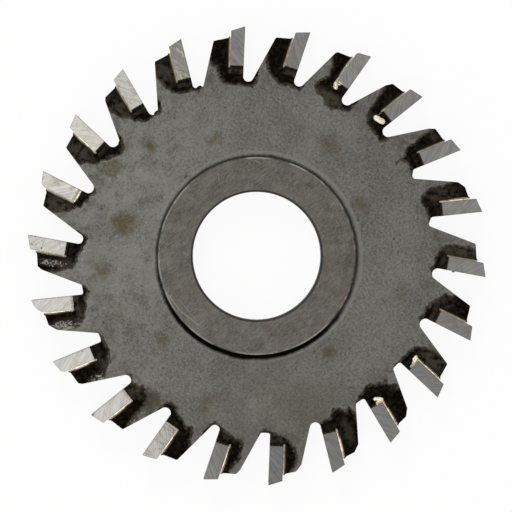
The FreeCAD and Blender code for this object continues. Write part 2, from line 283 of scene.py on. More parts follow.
# Colours of the flux
FLUX_BLACK, FLUX_LUMP = (0.0012, 0.0010, 0.0008), (0.017, 0.013, 0.008)
THIN_DARK, THIN_LIGHT = (0.020, 0.015, 0.010), (0.082, 0.071, 0.055)
BARE_DARK, BARE_LIGHT = (0.040, 0.036, 0.028), (0.125, 0.118, 0.100)
FLUX_BROWN = (0.058, 0.049, 0.036)
ASH_DUST, ASH_CRUMB = (0.056, 0.052, 0.044), (0.34, 0.33, 0.295)
SEAM_GLOW = (0.040, 0.023, 0.010)
SEAM_GOLD = (0.66, 0.57, 0.40)

# Bevels in millimetres and degrees, and how near points have to be, in metres, to become one
BODY_BEVEL, TIP_BEVEL, BEVEL_ANGLE = 0.08, 0.03, 32
WELD_DISTANCE = 0.5e-6

# How far the flux reaches past its outline, and the waves of its edge: how fine and how deep
EDGE_GROWTH = 0.1
EDGE_WAVES = ((1.1, 0.26), (2.9, 0.2), (6.1, 0.1))

# Thickness of the flux: a film at its rim, its build-up inwards, and the same beside a tip. It
# keeps clear of the tip, and is lumpier in the pool below it and where it is ash.
FLUX_FILM, FLUX_BUILD = 0.012, 0.11
SEAM_FILM, SEAM_BUILD = 0.015, 0.2
CLEAR_BEHIND, CLEAR_BELOW = 0.1, 0.2
POOL_LUMPS, ASH_LUMPS = 0.08, 0.09

# The brown bar across a pool, in shares of the pool: its middle, its half width and how it wavers
BAR_MIDDLE, BAR_HALF, BAR_WAVER = 0.52, 0.30, 0.12

# The lower face of a tooth takes its flux from the tooth this many places on
LOWER_SHIFT = 9

# Thickness of a drop at its rim, and how high it is domed for its radius
DROP_RIM_HEIGHT, DROP_DOME = 0.14, 0.55

# Height of a lump's middle over the middle of the disc, and half its height
LUMP_MIDDLE, LUMP_HALF_HEIGHT = 0.9, 1.3

# The grid that a skin is laid on: where it starts behind the rake face and down it, how many cells
# it has and how wide they are, how far from a point the steel carries it, and how much further
# its underside is sunk.
Lay = namedtuple("Lay", "behind down columns rows spacing reach sunk")
FLUX_LAY = Lay(behind=-2.9, down=1.2, columns=58, rows=63, spacing=0.17, reach=0.17, sunk=0.0)
DROP_LAY = Lay(behind=0.0, down=TIP_LENGTH - 0.4, columns=52, rows=44, spacing=0.07, reach=1.2,
               sunk=RECESS_DEPTH)

# How deep a skin goes into the steel, from which neighbours and in how many halvings its rim is
# found, from what height the steel is looked for, and how level its faces have to be
SKIN_FOOT = 0.05
SIDEWAYS = ((1, 0), (-1, 0), (0, 1), (0, -1))
RIM_TRIES = 5
ABOVE_STEEL = 4
LEVEL = 0.9

# The picture in pixels, the camera's sensor in millimetres, and the rest of the camera, the lamps
# and the floor in metres, degrees and watts
PICTURE_WIDTH = 512
CAMERA_PLACE, CAMERA_AIM = (-0.006, 0.006, 0.65), (-0.00015, 0.0, 0.003)
SENSOR = 36.0
NEAREST, FARTHEST = 0.01, 20.0
LAMP_COLOUR = (1.0, 0.985, 0.93)
KEY_PLACE, KEY_SIZE, KEY_WATTS = (-0.15, 0.55, 0.60), 0.22, 1.6
SIDE_AZIMUTH, SIDE_EDGE, SIDE_HEIGHT = 231.1, 0.0275, 0.70
SIDE_SIZE, SIDE_RADIANCE = 0.6, 1.9
FLOOR_SIZE, FLOOR_GAP, FLOOR_GLOW = 4.0, 0.00002, 0.93
PAPER_DARK, PAPER_LIGHT = (0.86, 0.86, 0.86), (0.9, 0.9, 0.9)
WORLD_SEEN, WORLD_LIGHT = 1.0, 0.5


def tooth_angle(number):
    return FIRST_TOOTH + (number - 1) * PITCH


def rake_turn():
    """Cosine and sine of the rake."""
    return math.cos(math.radians(RAKE)), math.sin(math.radians(RAKE))


def on_tip(down, behind):
    """A point of the upright tooth by its distance down the rake face and behind it."""
    c, s = rake_turn()
    return (-down * s - behind * c, TIP_RADIUS - down * c + behind * s)


def tip_place(x, y):
    """The distance down the rake face and behind it of a point on the upright tooth."""
    c, s = rake_turn()
    return (-x * s - (y - TIP_RADIUS) * c, -x * c + (y - TIP_RADIUS) * s)


def turned(x, y, number):
    """A point of the upright tooth at its place on the disc."""
    a = math.radians(tooth_angle(number))
    return (x * math.cos(a) + y * math.sin(a), y * math.cos(a) - x * math.sin(a))


class Nodes:
    """Builds the nodes of one material or world, a call for each node."""

    def __init__(self, name, kind="materials"):
        self.owner = getattr(bpy.data, kind).new(name)
        self.owner.use_nodes = True
        self.tree = self.owner.node_tree
        self.tree.nodes.clear()

    def add(self, kind, inputs=None, output=0, **settings):
        made = self.tree.nodes.new("ShaderNode" + kind)
        for name, value in settings.items():
            setattr(made, name, value)
        for key, value in (inputs or {}).items():
            if isinstance(value, bpy.types.NodeSocket):
                self.tree.links.new(value, made.inputs[key])
            else:
                made.inputs[key].default_value = value
        return made.outputs[output]

    def math(self, operation, a, b=0.0):
        return self.add("Math", {0: a, 1: b}, operation=operation)

    def plus(self, a, b):
        return self.math("ADD", a, b)

    def minus(self, a, b):
        return self.math("SUBTRACT", a, b)

    def times(self, a, b):
        return self.math("MULTIPLY", a, b)

    def larger(self, a, b):
        return self.math("MAXIMUM", a, b)

    def smaller(self, a, b):
        return self.math("MINIMUM", a, b)

    def absolute(self, a):
        return self.math("ABSOLUTE", a)

    def weighted(self, *shares):
        """The sum of values, each times its weight."""
        total = None
        for value, weight in shares:
            part = self.times(value, weight)
            total = part if total is None else self.plus(total, part)
        return total

    def step(self, value, low, high, to_low=0.0, to_high=1.0):
        """Goes smoothly from to_low to to_high as value goes from low to high, also downwards."""
        if low > high:
            low, high, to_low, to_high = high, low, to_high, to_low
        inputs = {"Value": value, "From Min": low, "From Max": high}
        inputs |= {"To Min": to_low, "To Max": to_high}
        return self.add("MapRange", inputs, interpolation_type="SMOOTHSTEP")

    def noise(self, vector, scale, detail, roughness):
        inputs = {"Vector": vector, "Scale": scale, "Detail": detail, "Roughness": roughness}
        return self.add("TexNoise", inputs, noise_dimensions="3D")

    def patches(self, vector, scale, detail, roughness, low, high):
        """Noise that is cut into patches: none below low and full above high."""
        return self.step(self.noise(vector, scale, detail, roughness), low, high)

    def mix(self, factor, a, b, blend="MIX"):
        """Mixes two colours, whose sockets share their names with others and go by number."""
        a = a if isinstance(a, bpy.types.NodeSocket) else (*a, 1.0)
        b = b if isinstance(b, bpy.types.NodeSocket) else (*b, 1.0)
        inputs = {0: factor, 6: a, 7: b}
        return self.add("Mix", inputs, output=2, data_type="RGBA", blend_type=blend)

    def mix_values(self, factor, a, b):
        return self.add("Mix", {0: factor, 2: a, 3: b}, data_type="FLOAT")

    def tint(self, colour, mask, strength, other):
        """The colour, mixed with another one at the given strength where the mask is one."""
        return self.mix(self.times(mask, strength), colour, other)

    def place(self):
        """Position in the part's frame, in millimetres."""
        inputs = {0: self.add("TexCoord", output="Object"), "Scale": 1 / MM}
        return self.add("VectorMath", inputs, operation="SCALE")

    def mapped(self, vector, angle=0.0, shift=(0, 0, 0)):
        inputs = {"Vector": vector, "Location": shift, "Rotation": (0, 0, math.radians(angle))}
        return self.add("Mapping", inputs, vector_type="POINT")

    def tilted(self, vector):
        """Turned out of all three axes, so that the cells of a noise line up with no face."""
        inputs = {"Vector": vector, "Rotation": (0.7, 0.5, 0.9)}
        return self.add("Mapping", inputs, vector_type="POINT")

    def strokes(self, vector, angle, length, width, detail, shift=0.0):
        """Noise drawn out along an angle."""
        inputs = {"Vector": vector, "Location": (shift, shift, 0)}
        inputs |= {"Rotation": (0, 0, math.radians(angle)), "Scale": (length, width, 1)}
        return self.noise(self.add("Mapping", inputs, vector_type="TEXTURE"), 1.0, detail, 0.6)

    def split(self, vector):
        made = self.tree.nodes.new("ShaderNodeSeparateXYZ")
        self.tree.links.new(vector, made.inputs[0])
        return tuple(made.outputs)

    def distance(self, vector, point):
        return self.add("VectorMath", {0: vector, 1: point}, output="Value", operation="DISTANCE")

    def length(self, vector):
        return self.add("VectorMath", {0: vector}, output="Value", operation="LENGTH")

    def flatness(self, low, high):
        """One on faces that look up or down, zero on upright ones."""
        _, _, upwards = self.split(self.add("NewGeometry", output="Normal"))
        return self.step(self.absolute(upwards), low, high)

    def attribute(self, name):
        return self.add("Attribute", output="Fac", attribute_name=name, attribute_type="GEOMETRY")

    def tip_place(self, upright):
        """The distance down the rake face and behind it."""
        x, y, _ = self.split(upright)
        c, s = rake_turn()
        out = self.minus(y, TIP_RADIUS)
        return self.weighted((x, -s), (out, -c)), self.weighted((x, -c), (out, s))

    def scratch(self, place, start, end, strength):
        """A thin scratch between two points of a flat face."""
        fade, wide, narrow = 0.3, 0.11, 0.04
        ax, ay = start
        length = math.hypot(end[0] - ax, end[1] - ay)
        inputs = {0: place, 1: (ax, ay, 0)}
        x, y, _ = self.split(self.add("VectorMath", inputs, operation="SUBTRACT"))
        c, s = (end[0] - ax) / length, (end[1] - ay) / length
        along = self.weighted((x, c), (y, s))
        across = self.weighted((x, -s), (y, c))
        out = self.absolute(self.minus(along, length / 2))
        near = self.times(self.step(out, length / 2, length / 2 - fade), strength)
        return self.times(near, self.step(self.absolute(across), wide, narrow))

    def bump(self, height, distance, strength):
        return self.add("Bump", {"Height": height, "Distance": distance * MM, "Strength": strength})

    def finish(self, colour, roughness, metallic, normal, specular=0.5):
        inputs = {"Base Color": colour, "Roughness": roughness, "Metallic": metallic}
        inputs |= {"Specular IOR Level": specular, "Normal": normal}
        self.add_output(self.add("BsdfPrincipled", inputs))
        return self.owner

    def add_output(self, shader, kind="OutputMaterial"):
        made = self.tree.nodes.new("ShaderNode" + kind)
        self.tree.links.new(shader, made.inputs["Surface"])

    def seen(self):
        """One for rays that reach the camera straight, by gloss or through glass."""
        path = self.tree.nodes.new("ShaderNodeLightPath").outputs
        straight = self.larger(path["Is Camera Ray"], path["Is Glossy Ray"])
        return self.larger(straight, path["Is Transmission Ray"])


def spots(n, p, rows):
    """Soft spots with ragged edges on the web."""
    edge = n.noise(p, 0.6, 4.0, 0.68)
    covered = None
    for x, y, size, strength in rows:
        away = n.distance(p, (x, y, WEB_TOP))
        away = n.plus(away, n.times(n.minus(edge, 0.5), -2.8 * size))
        spot = n.times(n.step(away, 1.35 * size, -0.1 * size), strength)
        covered = spot if covered is None else n.larger(covered, spot)
    return covered


def web_steel(n, p, z, radius):
    """Colour of the blasted web, with its height, its fine specks, its stains, and painted light on
    its left side.
    """
    grain = n.noise(n.tilted(p), 2.7, 4.0, 0.72)
    speck = n.noise(n.tilted(p), 3.3, 1.5, 0.5)
    cloud = n.noise(p, 0.13, 4.0, 0.6)
    # Painted light: a lighter patch on the left of the web, where the glints are made stronger too
    painted_light = n.step(n.distance(p, LIT_MIDDLE), *LIT_REACH)
    painted_light = n.times(painted_light, n.patches(p, 0.35, 3.0, 0.6, 0.35, 0.6))
    tone = n.weighted((grain, 0.8), (speck, 0.35), (cloud, 0.3), (painted_light, 0.13))
    web = n.mix(n.step(tone, 0.485, 0.965), WEB_DARK, WEB_LIGHT)

    pits = n.patches(p, 1.0, 3.0, 0.6, 0.68, 0.73)
    web = n.tint(web, pits, 0.6, WEB_PIT)
    glints = n.patches(n.mapped(p, shift=(31, 7, 3)), 2.4, 2.0, 0.5, 0.67, 0.76)
    web = n.tint(web, glints, n.plus(n.times(painted_light, 0.75), 0.1), WEB_GLINT)
    burnt = n.times(n.step(radius, *BURNT_EDGE), n.patches(p, 0.6, 5.0, 0.65, 0.46, 0.68))
    web = n.tint(web, burnt, 0.6, WEB_BURNT)
    film = n.step(n.distance(p, OIL_MIDDLE), *OIL_REACH)
    film = n.times(film, n.patches(p, 0.22, 4.0, 0.6, 0.3, 0.62))
    web = n.tint(web, film, 0.4, OIL_FILM)

    upper = n.step(z, *UPPER_SIDE)
    mottle = n.step(n.noise(p, 1.7, 3.0, 0.6), 0.25, 0.55, 0.6, 1.0)
    stain = n.times(spots(n, p, STAINS), n.times(upper, mottle))
    web = n.mix(stain, web, n.mix(1.0, web, STAIN_FILTER, blend="MULTIPLY"))
    web = n.tint(web, spots(n, p, SOOT), upper, SOOT_BROWN)
    relief = n.minus(n.weighted((grain, 0.7), (speck, 0.3)), n.times(pits, 0.4))
    return web, relief, speck, stain


def hub_steel(n, p, radius):
    """Colour of the ground hub face, with its grinding lines, and a rubbed edge that is partly a
    painted highlight.
    """
    lines = n.strokes(p, 36, 1.7, 0.14, 4.0)
    cross = n.strokes(p, 82, 1.4, 0.16, 3.0, 5.0)
    cloud = n.noise(p, 0.35, 5.0, 0.66)
    grain = n.noise(p, 3.0, 2.0, 0.6)
    worn = n.weighted((lines, 0.75), (cross, 0.25), (cloud, 0.5), (grain, 0.35))
    face = n.mix(n.step(worn, 0.68, 1.16), HUB_DARK, HUB_LIGHT)

    hair = n.step(n.strokes(p, 118, 1.5, 0.16, 1.0, 9.0), 0.67, 0.75)
    hair = n.larger(hair, n.step(n.strokes(p, 58, 1.9, 0.15, 1.0, 3.0), 0.67, 0.75))
    hair = n.times(hair, n.patches(p, 0.3, 2.0, 0.5, 0.40, 0.58))
    for ax, ay, bx, by, strength in SCRATCHES:
        hair = n.larger(hair, n.scratch(p, (ax, ay), (bx, by), strength))
    face = n.tint(face, hair, 0.45, HUB_HAIRLINE)
    rosy = n.patches(n.mapped(p, shift=(9, 2, 0)), 0.4, 3.0, 0.6, 0.52, 0.7)
    face = n.tint(face, rosy, 0.3, HUB_ROSY)
    # A rubbed ring at the hub's outer edge, partly a painted highlight on the chamfer
    rubbed_and_lit = n.patches(n.mapped(p, shift=(4, 8, 0)), 0.22, 4.0, 0.6, 0.42, 0.58)
    rubbed_and_lit = n.times(rubbed_and_lit, n.step(radius, HUB_RADIUS - 0.26, HUB_RADIUS - 0.14))
    return n.tint(face, rubbed_and_lit, 0.7, HUB_EDGE_WEAR_AND_HIGHLIGHT), lines


def foot_shade(n, p, x, y, radius, height):
    """Painted shade in the corner round the hub's foot, partly grime, with a painted shadow that
    widens towards -Y.
    """
    fall = n.weighted((x, -0.15 / HUB_RADIUS), (y, -0.99 / HUB_RADIUS))
    shade_spread = n.plus(n.times(n.step(fall, 0.0, 1.05), 0.8), n.noise(p, 0.5, 4.0, 0.65))
    width = n.plus(n.times(shade_spread, 0.6), HUB_RADIUS - 0.03)
    foot = n.step(n.minus(radius, width), 0.5, -0.12)
    foot = n.times(foot, n.step(radius, HUB_RADIUS - 0.01, HUB_RADIUS + 0.06))
    foot = n.times(foot, n.step(height, *FOOT_LEVEL))
    return n.times(foot, n.step(shade_spread, 0.6, 1.15, 0.74, 1.0))


def disc_steel():
    """The body: blasted web, ground hub faces, stains and dark tooth walls, with painted shade
    round the hub's foot and in the bore, and a painted highlight beside the foot.
    """
    n = Nodes("disc_steel")
    p = n.place()
    x, y, z = n.split(p)
    radius = n.length(n.add("CombineXYZ", {"X": x, "Y": y}))
    height = n.absolute(z)
    flat = n.flatness(0.7, 0.92)

    web, web_relief, speck, stain = web_steel(n, p, z, radius)
    face, lines = hub_steel(n, p, radius)
    foot = foot_shade(n, p, x, y, radius, height)
    hub = n.step(radius, HUB_RADIUS + 0.05, HUB_RADIUS - 0.02)
    hub = n.times(hub, n.step(height, *HUB_LEVEL))
    # A painted highlight on the fillet beside the foot, weaker towards -X
    band = n.times(n.step(radius, *BAND_INNER), n.step(radius, *BAND_OUTER))
    band = n.times(band, n.step(x, *BAND_FADE, 0.25, 1.0))
    colour = n.tint(web, band, 0.5, FOOT_HIGHLIGHT)
    # Painted shade and shadow in the corner at the hub's foot, wider towards -Y
    colour = n.mix(foot, colour, FOOT_SHADE)
    colour = n.mix(hub, colour, face)

    # Painted shade round the bore: its edge and its wall are darkened
    bore = n.step(radius, BORE_RADIUS + 0.36, BORE_RADIUS + 0.28)
    colour = n.tint(colour, bore, 0.9, BORE_EDGE_SHADE)
    wall = n.mix(n.patches(p, 0.7, 4.0, 0.65, 0.35, 0.65), WALL_DARK, WALL_LIGHT)
    wall = n.mix(bore, wall, BORE_WALL_SHADE)
    steep = n.minus(1.0, flat)
    colour = n.mix(n.times(steep, n.larger(bore, n.step(radius, *WALL_EDGE))), colour, wall)

    rough = n.minus(n.plus(0.5, n.times(speck, 0.22)), n.times(hub, 0.16))
    relief = n.mix_values(hub, web_relief, n.times(lines, 0.25))
    metal = n.plus(n.minus(0.85, n.times(stain, 0.5)), n.times(foot, 0.15))
    tooth_wall = n.times(n.step(radius, *TOOTH_EDGE), steep)
    metal = n.times(metal, n.minus(1.0, n.times(tooth_wall, 0.7)))
    return n.finish(colour, rough, metal, n.bump(relief, 0.04, 0.8))


def ground_carbide(number):
    """One tip: bright ground carbide with slanting wheel marks, darker along its edges."""
    n = Nodes(f"ground_carbide_{number:02d}")
    upright = n.mapped(n.place(), tooth_angle(number))
    down, behind = n.tip_place(upright)
    p = n.mapped(upright, shift=(0, 0, 3.7 * number))
    tone = TIP_TONE[number - 1]
    browned, pitted = TIP_WEAR.get(number, SOUND_TIP)

    coarse = n.strokes(p, -56, 3.5, 0.30, 2.0)
    fine = n.strokes(p, -52, 2.0, 0.14, 2.0, 4.0)
    marks = n.weighted((coarse, 0.6), (fine, 0.4))
    colour = n.mix(n.step(marks, 0.32, 0.68), CARBIDE_DARK, CARBIDE_LIGHT)
    cloud = n.step(n.noise(p, 0.6, 2.0, 0.5), 0.55, 0.75, 0.0, 0.3)
    colour = n.mix(cloud, colour, CARBIDE_CLOUD)
    pits = n.patches(n.mapped(p, shift=(2, 5, 1)), 2.4, 1.0, 0.4, 0.73, 0.78)
    colour = n.tint(colour, pits, 0.6, CARBIDE_PIT)
    colour = n.mix(1.0, colour, (tone, tone, tone), blend="MULTIPLY")
    blotch = n.patches(n.mapped(p, shift=(1, 6, 2)), 0.6, 4.0, 0.62, 0.48, 0.66)
    colour = n.tint(colour, blotch, 0.7 * browned, CARBIDE_BLOTCH)
    holes = n.patches(n.mapped(p, shift=(8, 3, 5)), 1.7, 2.0, 0.55, 0.62, 0.67)
    holes = n.times(holes, n.step(down, 6.2, 3.8, 0.15, 1.0))
    colour = n.tint(colour, holes, pitted, CARBIDE_HOLE)

    land = n.minus(down, n.times(behind, math.tan(math.radians(RAKE + LAND_ANGLE))))
    rim = n.smaller(n.smaller(behind, n.minus(TIP_THICKNESS, behind)), land)
    rim = n.smaller(rim, n.minus(TIP_LENGTH, down))
    colour = n.mix(n.step(rim, 0.16, 0.02, 0.0, 0.5), colour, CARBIDE_RIM)
    rough = n.step(n.flatness(0.6, 0.9), 0.0, 1.0, 0.28, 0.07)
    rough = n.plus(rough, n.times(marks, 0.05))
    relief = n.plus(marks, n.times(blotch, 5 * browned))
    return n.finish(colour, rough, 1.0, n.bump(relief, 0.003, 0.5))


def braze_metal(number):
    """One braze seam: pale gold against the tip, browned outwards, black under the tip, where it is
    partly painted shade.
    """
    n = Nodes(f"braze_metal_{number:02d}")
    upright = n.mapped(n.place(), tooth_angle(number))
    down, behind = n.tip_place(upright)
    shine = BRAZE_SHINE[number]
    ripple = n.noise(upright, 1.2, 3.0, 0.6)
    gold = n.mix(n.step(ripple, 0.35, 0.65), GOLD_DARK, GOLD_LIGHT)
    gold = n.mix(0.75 * (1 - shine), gold, GOLD_DULL)

    limit = TIP_THICKNESS + 0.14 + 0.24 * shine
    soot_and_shade = n.step(n.plus(behind, n.times(ripple, 0.2)), limit, limit + 0.22)
    start = BRIGHT_FOOT.get(number, TIP_THICKNESS)
    # Black under the tip: partly burnt braze, partly painted shade under the tip
    under_tip_shade = n.step(down, TIP_LENGTH - 0.15, TIP_LENGTH)
    under_tip_shade = n.times(under_tip_shade, n.step(behind, start + 0.1, start - 0.1))
    soot_and_shade = n.larger(soot_and_shade, under_tip_shade)
    burnt = n.mix(n.step(ripple, 0.4, 0.7), BRAZE_BLACK, BRAZE_BROWN)
    colour = n.mix(soot_and_shade, gold, burnt)
    metal = n.minus(1.0, n.times(soot_and_shade, 0.5))
    rough = n.plus(0.3, n.times(ripple, 0.15))
    return n.finish(colour, rough, metal, n.bump(ripple, 0.02, 0.4), specular=0.1)


def baked_flux(number):
    """Baked flux: black where thick and at both ends of the pool below a tip, partly painted shade
    there; brown and thin at its rim, with pale crust on some heels.
    """
    n = Nodes(f"baked_flux_{number:02d}")
    p = n.place()
    upright = n.mapped(p, tooth_angle(number))
    down, behind = n.tip_place(upright)
    away = n.minus(behind, TIP_THICKNESS)
    beside = n.step(n.minus(down, TIP_LENGTH), 0.3, -0.1)
    cover, ash, brown = n.attribute("cover"), n.attribute("ash"), n.attribute("brown")

    lumps = n.noise(p, 1.3, 5.0, 0.68)
    fine = n.noise(p, 4.0, 4.0, 0.65)
    black = n.mix(n.step(lumps, 0.42, 0.72), FLUX_BLACK, FLUX_LUMP)
    thin = n.mix(n.step(fine, 0.32, 0.68), THIN_DARK, THIN_LIGHT)
    bare = n.mix(n.step(fine, 0.3, 0.7), BARE_DARK, BARE_LIGHT)
    depth = n.plus(cover, n.times(n.minus(lumps, 0.5), 1.7))
    colour = n.mix(n.step(depth, 0.18, 0.62), thin, black)
    browned = n.times(brown, n.patches(p, 0.9, 4.0, 0.65, 0.36, 0.56))
    colour = n.mix(browned, colour, n.mix(0.5, thin, FLUX_BROWN))
    colour = n.mix(n.step(n.plus(depth, n.times(cover, 0.5)), 0.02, 0.32), bare, colour)

    crumbs = n.plus(n.noise(p, 2.3, 3.0, 0.7), n.times(ash, 0.2))
    pale = n.times(n.step(crumbs, 0.66, 0.76), n.step(ash, 0.05, 0.35))
    colour = n.tint(colour, ash, 0.5, ASH_DUST)
    colour = n.tint(colour, pale, 0.85, ASH_CRUMB)

    glow = n.times(n.step(n.plus(away, n.times(lumps, 0.6)), 1.1, 0.4), beside)
    colour = n.tint(colour, glow, 0.75, SEAM_GLOW)
    shine = BRAZE_SHINE[number]
    middle = n.absolute(n.minus(down, 0.55 * TIP_LENGTH))
    middle = n.step(middle, 0.48 * TIP_LENGTH, 0.0)
    width = n.weighted((middle, 0.22 * shine), (n.noise(upright, 0.5, 2.0, 0.5), 0.2))
    seam = n.times(n.step(n.minus(away, width), 0.22, -0.02), beside)
    seam = n.times(seam, min(1.0, 0.25 + shine))
    colour = n.mix(seam, colour, SEAM_GOLD)
    rough = n.plus(0.45, n.times(lumps, 0.4))
    relief = n.plus(lumps, n.times(fine, 0.5))
    metal = n.times(seam, 0.8)
    return n.finish(colour, rough, metal, n.bump(relief, 0.08, 0.8), specular=0.015)


def drop_metal():
    """Solidified drops of braze, pale gold with a burnt rim."""
    n = Nodes("drop_metal")
    ripple = n.noise(n.place(), 1.3, 3.0, 0.55)
    gold = n.mix(n.step(ripple, 0.35, 0.65), DROP_DARK, DROP_LIGHT)
    colour = n.mix(n.step(n.attribute("cover"), 0.02, 0.22), DROP_RIM, gold)
    rough = n.plus(0.36, n.times(ripple, 0.16))
    return n.finish(colour, rough, 0.75, n.bump(ripple, 0.02, 0.4))


def finish_nodes():
    """Gives the CAD nodes their materials, and their sharp edges a fine bevel."""
    for name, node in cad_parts.items():
        number = int(name[-2:]) if name[-2:].isdigit() else 0
        if name == "cutter_body":
            material, width = disc_steel(), BODY_BEVEL
        elif name.startswith("carbide"):
            material, width = ground_carbide(number), TIP_BEVEL
        else:
            material, width = braze_metal(number), 0.0
        for slot in node.material_slots:
            slot.material = material
        weld = node.modifiers.new("Weld", "WELD")
        weld.merge_threshold = WELD_DISTANCE
        if width:
            bevel = node.modifiers.new("Bevel", "BEVEL")
            bevel.width = width * MM
            bevel.segments = 2
            bevel.limit_method = "ANGLE"
            bevel.angle_limit = math.radians(BEVEL_ANGLE)
            bevel.miter_outer = "MITER_ARC"
        node.modifiers.new("Normals", "WEIGHTED_NORMAL").keep_sharp = True


def edge_distance(x, y, points):
    """Distance to a closed outline, above zero inside it."""
    inside = False
    nearest = math.inf
    ax, ay = points[-1]
    for bx, by in points:
        if (ay > y) != (by > y) and x < (bx - ax) * (y - ay) / (by - ay) + ax:
            inside = not inside
        dx, dy = bx - ax, by - ay
        t = max(0.0, min(1.0, ((x - ax) * dx + (y - ay) * dy) / (dx * dx + dy * dy)))
        nearest = min(nearest, math.hypot(x - ax - t * dx, y - ay - t * dy))
        ax, ay = bx, by
    return nearest if inside else -nearest


class Steel:
    """Finds the height of the steel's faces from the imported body."""

    def __init__(self):
        graph = bpy.context.evaluated_depsgraph_get()
        self.tree = BVHTree.FromObject(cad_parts["cutter_body"], graph)

    def height(self, x, y, number, side):
        """Height of the level face that a point of the upright tooth has on that side, or None."""
        px, py = turned(x, y, number)
        start = Vector((px * MM, py * MM, side * ABOVE_STEEL * MM))
        hit, normal, _, _ = self.tree.ray_cast(start, Vector((0, 0, -side)))
        if hit is None or normal.z * side < LEVEL:
            return None
        return hit.z * side / MM


class Skin:
    """A closed skin on one face of a tooth's steel, over the places where its field gives a value.

    It rests on the highest steel within its reach. A spot is a place on the upright tooth with the
    height of the steel, the thickness and the colour shares there, or None where nothing lies.
    """

    def __init__(self, number, side, lay, field, steel):
        self.number, self.side, self.lay, self.field, self.steel = number, side, lay, field, steel
        self.spots = {}
        for i in range(lay.columns + 1):
            for j in range(lay.rows + 1):
                x, y = on_tip(lay.down + j * lay.spacing, lay.behind + i * lay.spacing)
                self.spots[i, j] = (x, y, self.probe(x, y))
        self.rim = {}
        for key in self.spots:
            best = self.last_place(key)
            if best is not None:
                self.rim[key] = best
        self.spots.update(self.rim)

    def probe(self, x, y):
        value = self.field(x, y)
        if value is None or self.steel.height(x, y, self.number, self.side) is None:
            return None
        reach = self.lay.reach
        near = [(0, 0), (reach, 0), (-reach, 0), (0, reach), (0, -reach)]
        heights = [self.steel.height(x + dx, y + dy, self.number, self.side) for dx, dy in near]
        return (max(h for h in heights if h is not None), *value)

    def last_place(self, key):
        """For an uncovered spot beside a covered one, the last covered place on the way to it."""
        x, y, found = self.spots[key]
        if found is not None:
            return None
        farthest, best = None, None
        for di, dj in SIDEWAYS:
            ox, oy, kept = self.spots.get((key[0] + di, key[1] + dj), (0, 0, None))
            if kept is None:
                continue
            low, high = 0.0, 1.0
            for _ in range(RIM_TRIES):
                middle = (low + high) / 2
                tried = self.probe(ox + (x - ox) * middle, oy + (y - oy) * middle)
                if tried is None:
                    high = middle
                else:
                    low, kept = middle, tried
            if farthest is None or low > farthest:
                farthest, best = low, (ox + (x - ox) * low, oy + (y - oy) * low, kept)
        return best

    def build(self, bm, layers):
        tops, bottoms = {}, {}

        def corner(key, lowered):
            kept = bottoms if lowered else tops
            if key not in kept:
                x, y, (base, thickness, *shares) = self.spots[key]
                z = base - SKIN_FOOT - self.lay.sunk if lowered else base + thickness
                px, py = turned(x, y, self.number)
                kept[key] = bm.verts.new((px * MM, py * MM, self.side * z * MM))
                for layer, share in zip(layers, shares):
                    kept[key][layer] = share
            return kept[key]

        used = set()
        for i in range(self.lay.columns):
            for j in range(self.lay.rows):
                keys = [(i, j), (i + 1, j), (i + 1, j + 1), (i, j + 1)]
                if any(self.spots[key][2] is None for key in keys):
                    continue
                if all(key in self.rim for key in keys):
                    continue
                used.add((i, j))
                order = keys if self.side > 0 else keys[::-1]
                bm.faces.new([corner(key, False) for key in order])
                bm.faces.new([corner(key, True) for key in order[::-1]])
        for i, j in used:
            a, b, c, d = (i, j), (i + 1, j), (i + 1, j + 1), (i, j + 1)
            walls = {(i, j - 1): (a, b), (i + 1, j): (b, c), (i, j + 1): (c, d), (i - 1, j): (d, a)}
            for neighbour, (first, second) in walls.items():
                if neighbour in used:
                    continue
                if self.side < 0:
                    first, second = second, first
                ring = ((second, False), (first, False), (first, True), (second, True))
                bm.faces.new([corner(key, lowered) for key, lowered in ring])


def attribute_mesh():
    """An empty mesh with a layer for each colour share of a skin."""
    bm = bmesh.new()
    return bm, [bm.verts.layers.float.new(name) for name in ("cover", "ash", "brown")]


def new_piece(name, bm, material):
    """Makes a smooth piece of the mesh and lets it ride on the part."""
    mesh = bpy.data.meshes.new(name)
    bm.normal_update()
    bm.to_mesh(mesh)
    bm.free()
    for polygon in mesh.polygons:
        polygon.use_smooth = True
    mesh.materials.append(material)
    piece = bpy.data.objects.new(name, mesh)
    bpy.context.scene.collection.objects.link(piece)
    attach(piece, "root")


def patch(row, x, y):
    """The strength of an oval patch at a point of the upright tooth."""
    if row is None:
        return 0.0
    u, v, half_u, half_v, strength = row
    out = math.hypot((x / GRID - u) / half_u, (y / GRID - v) / half_v)
    return strength * max(0.0, min(1.0, 1.6 - out))


